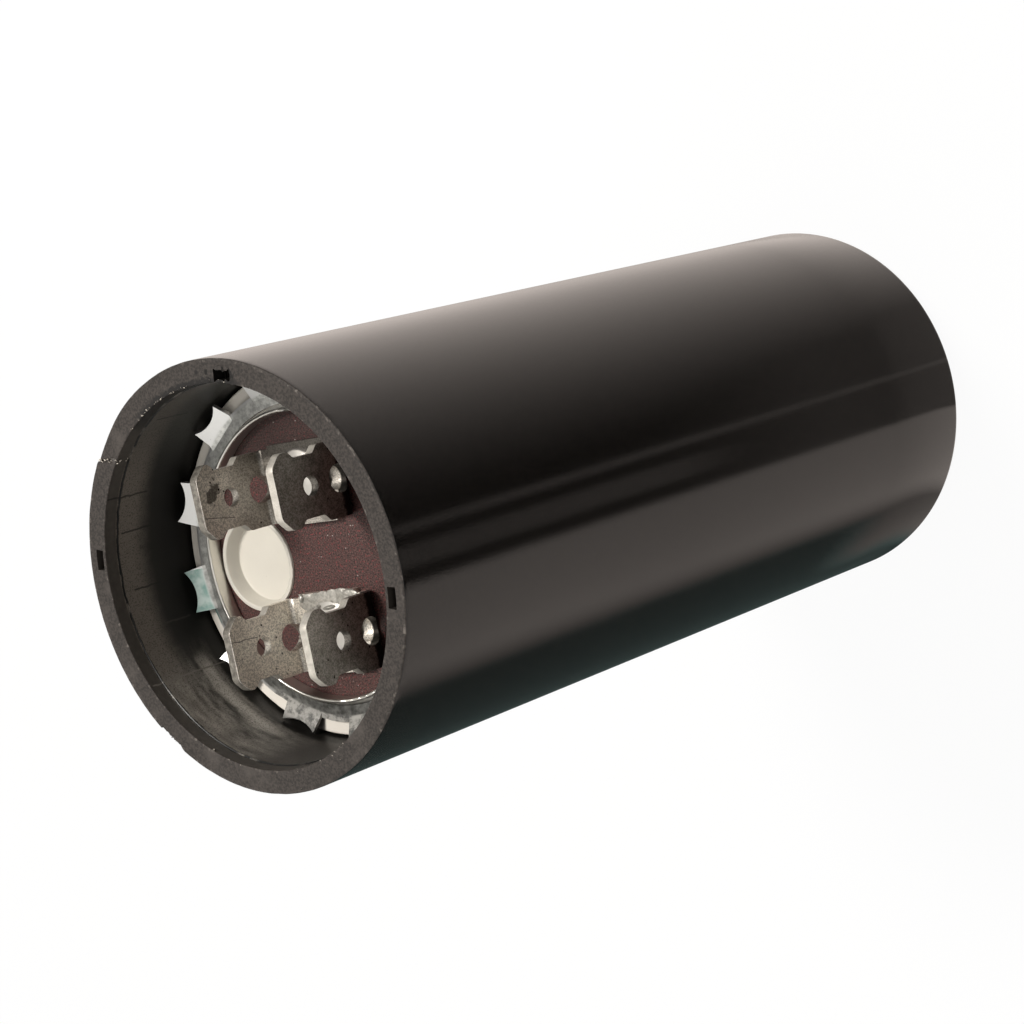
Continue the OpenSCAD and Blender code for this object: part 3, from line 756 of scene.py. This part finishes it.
def plug_piece():
    """The vent plug, a cup let into the cover, its near edge a little torn."""
    floor_r, cup_r, flange_r = 3.5 * MM, 3.85 * MM, 4.25 * MM
    neck_r, bulb_r, vent_r = 4.08 * MM, 4.48 * MM, 1.2 * MM
    bulb_top, bulb_z, skin_z = 71.2 * MM, 70 * MM, 73.75 * MM
    profile = [(0, CUP_FLOOR_Z, 0), (floor_r, CUP_FLOOR_Z, 0.07 * MM), (cup_r, CUP_RIM_Z, 0.12 * MM),
               (flange_r, CUP_RIM_Z, 0.08 * MM), (flange_r, PLATE_Z, 0), (neck_r, PLATE_Z, 0),
               (neck_r, bulb_top, 0), (bulb_r, bulb_top, 0), (bulb_r, bulb_z, 0), (vent_r, bulb_z, 0),
               (vent_r, skin_z, 0), (0, skin_z, 0)]
    builder = lathe(profile, 192)
    bmesh.ops.translate(builder, vec=(PLUG_X, PATTERN_Y, 0), verts=builder.verts)
    for vert in builder.verts:
        if vert.co.x > PLUG_X and vert.co.z > PLATE_Z:
            jag = 0.06 * MM * noise.noise_vector(vert.co * 2600)
            vert.co += Vector((jag.x, jag.y, 0))
    shade(builder)
    new_piece("vent_plug_cup", builder, [cream], "plug_plastic", "vent_plug", crisp=True)


case_black = skin_finish()
case_cut = rim_finish()
case_wall = wall_finish()
case_torn = flake_finish()
tin = tin_finish()
cut_edge = metal_finish("terminal_cut_edge", (0.49, 0.46, 0.41), (0.66, 0.625, 0.565), 0.5, 0.6 * MM, 0.5)
# A dark metal that paints shade on the far blades' tip edges.
far_tip_shade = metal_finish("terminal_worn_edge", (0.11, 0.10, 0.086), (0.30, 0.28, 0.245), 0.5, 0.5 * MM, 0.5)
weld = metal_finish("weld_bright", (0.30, 0.29, 0.26), (0.56, 0.535, 0.49), 0.40, 0.4 * MM, 0.5)
zinc = ring_finish()
cream = plug_finish()
foil = metal_finish("lead_foil", (0.70, 0.70, 0.70), (0.86, 0.86, 0.86), 0.35, 1.2 * MM)
board = board_finish("pad_board", (0.26, 0.19, 0.12), (0.42, 0.33, 0.23), 0.8 * MM)
paper = board_finish("winding_paper", (0.42, 0.33, 0.21), (0.66, 0.56, 0.40), 0.6 * MM)
rubber = board_finish("seal_rubber", (0.012, 0.012, 0.012), (0.03, 0.03, 0.03), 0.5 * MM)
paint(case_black, "case")
paint(tin, "terminal_a", "terminal_b")
paint(zinc, "retaining_ring")
paint(can_finish(), "inner_can")
paint(foil, "lead_tab_a", "lead_tab_b")
paint(rivet_finish(), "rivet_a", "rivet_b", "rivet_washer_a", "rivet_washer_b")
paint(laminate_finish(), "cover_plate")
paint(cream, "vent_plug")
paint(board, "case_pad", "can_pad")
paint(paper, "winding", "winding_wrap")
paint(rubber, "cover_seal")
case_piece()
flakes_piece()
terminal_piece("terminal_a", TERMINAL_A_Y)
terminal_piece("terminal_b", TERMINAL_B_Y)
weld_piece()
ring_piece()
plug_piece()


# Studio

def lamp(name, place, size, watts, colour):
    """A round soft lamp aimed at the case's mouth."""
    data = bpy.data.lights.new(name, "AREA")
    data.shape = "DISK"
    data.size = size
    data.energy = watts
    data.color = colour
    obj = bpy.data.objects.new(name, data)
    bpy.context.scene.collection.objects.link(obj)
    obj.location = place
    obj.rotation_euler = (Vector((0, 0, RIM_Z)) - Vector(place)).to_track_quat("-Z", "Y").to_euler()


def stage_piece(name, builder, material):
    """A piece of the studio, which isn't part of the object."""
    obj = new_object(name, builder, [material])
    return obj


def floor_finish():
    """White paper. The camera and mirrors see it as white, and it keeps the part's shadow."""
    f = Finish("floor_paper", Base_Color=(0.9, 0.9, 0.9, 1.0), Roughness=0.9)
    path = f.add("ShaderNodeLightPath").socket.node
    by_camera, by_gloss, by_glass = (Value(f, path.outputs[key]) for key in (
        "Is Camera Ray", "Is Glossy Ray", "Is Transmission Ray"))
    white = f.add("ShaderNodeEmission", None, {"Color": (1, 1, 1, 1), "Strength": 1.0})
    lit = Value(f, f.shader.outputs[0])
    seen = 0.94 * by_camera.over(by_gloss).over(by_glass)
    return f.show(f.add("ShaderNodeMixShader", None, {0: seen, 1: lit, 2: white}))


def card_finish():
    """Card round the part's foot that only gloss sees: bright wall, strip, two faint slits, dark side."""
    f = Finish("studio_card")
    radius, turn = f.polar()
    reach = CASE_R / radius
    # The angle on the case at which a place on the card shows
    swept = turn
    for _ in range(4):
        half = (swept - CAMERA_BEARING) * math.radians(0.5)
        lean = f.add("ShaderNodeMath", {"operation": "SINE"}, {0: half})
        bend = f.add("ShaderNodeMath", {"operation": "ARCSINE"}, {0: (reach * lean).under(1.0).over(-1.0)})
        swept = turn + bend * TO_DEGREES
    off = f.add("ShaderNodeMath", {"operation": "WRAP"}, {0: swept - WALL_SIDE, 1: 180.0, 2: -180.0})
    wall = f.ease(off, -127.0, -5.0) * f.ease(off, 78.0, 8.0) * f.ease(reach, 0.2, 0.5, 0.98, 0.84)
    strip = f.ease(swept, STRIP_SIDE + 30.5, STRIP_SIDE + 25.5)
    strip = strip * f.ease(swept, STRIP_SIDE - 43.0, STRIP_SIDE - 16.0)
    strip = 0.67 * strip * f.ease(reach, 0.2, 0.36, 1.0, 0.88)
    front = f.band(swept, FRONT_SIDE, 37.0, 8.0)
    rest = 0.06 * (1 - front) + front * f.ease(reach, 0.25, 0.55, 0.0, 0.13)
    thin = 0.28 * f.band(swept, THIN_SIDE, 0.8, 2.4)
    broad = 0.21 * f.band(swept, BROAD_SIDE, 4.2, 3.0) * f.ease(reach, 0.45, 0.3)
    foot = 0.19 * f.ease(reach, 0.52, 0.82) * f.ease(swept, -150.0, -105.0)
    level = wall.over(strip).over(foot).over(rest).over(thin).over(broad)
    tint = f.mix(DARK_SIDE, WARM, f.ease(level, 0.08, 0.2).over(front))
    glow = f.mix((0, 0, 0), tint, level)
    return f.show(f.add("ShaderNodeEmission", None, {"Color": glow, "Strength": 1.2}))


def studio():
    """Pale floor, soft sky paler on the table's side, a card for the gloss, and two soft lamps."""
    scene = bpy.context.scene
    scene.view_settings.view_transform = "Standard"
    scene.world = bpy.data.worlds.new("studio")
    scene.world.use_nodes = True
    sky = Tree(scene.world.node_tree, "Generated")
    x, y, _ = sky.axes()
    colour = sky.mix((0.48, 0.47, 0.45), (1.10, 1.075, 1.025), sky.ease(y + 0.25 * x, -0.08, -0.36))
    colour = sky.mix(colour, (0.09, 0.088, 0.085), sky.ease(x, 0.1, 0.6))
    sky.tree.links.new(colour.socket, sky.tree.nodes["Background"].inputs["Color"])
    builder = bmesh.new()
    bmesh.ops.create_grid(builder, x_segments=1, y_segments=1, size=2.0)
    stage_piece("floor", builder, floor_finish())
    builder = bmesh.new()
    bmesh.ops.create_circle(builder, cap_ends=True, segments=64, radius=0.4)
    bmesh.ops.translate(builder, vec=(0, 0, 0.3 * MM), verts=builder.verts)
    card = stage_piece("reflection_card", builder, card_finish())
    card.visible_camera = False
    card.visible_diffuse = False
    card.visible_transmission = False
    card.visible_shadow = False
    lamp("soft_box", (-0.10, 0.22, 0.58), 0.16, 2.5, (1.0, 0.96, 0.91))
    lamp("fill", (0.42, -0.02, 0.36), 0.26, 0.45, (1.0, 0.97, 0.93))


def camera():
    """The camera, looking down into the case's mouth."""
    data = bpy.data.cameras.new("camera")
    data.sensor_width = CAMERA_SENSOR
    data.lens = CAMERA_LENS
    data.clip_start = 0.01
    obj = bpy.data.objects.new("camera", data)
    bpy.context.scene.collection.objects.link(obj)
    back = Vector(CAMERA_BACK).normalized()
    up = back.cross(Vector(CAMERA_RIGHT)).normalized()
    turn = Matrix((up.cross(back), up, back)).transposed().to_4x4()
    obj.matrix_world = Matrix.Translation(CAMERA_PLACE) @ turn
    bpy.context.scene.camera = obj


studio()
camera()
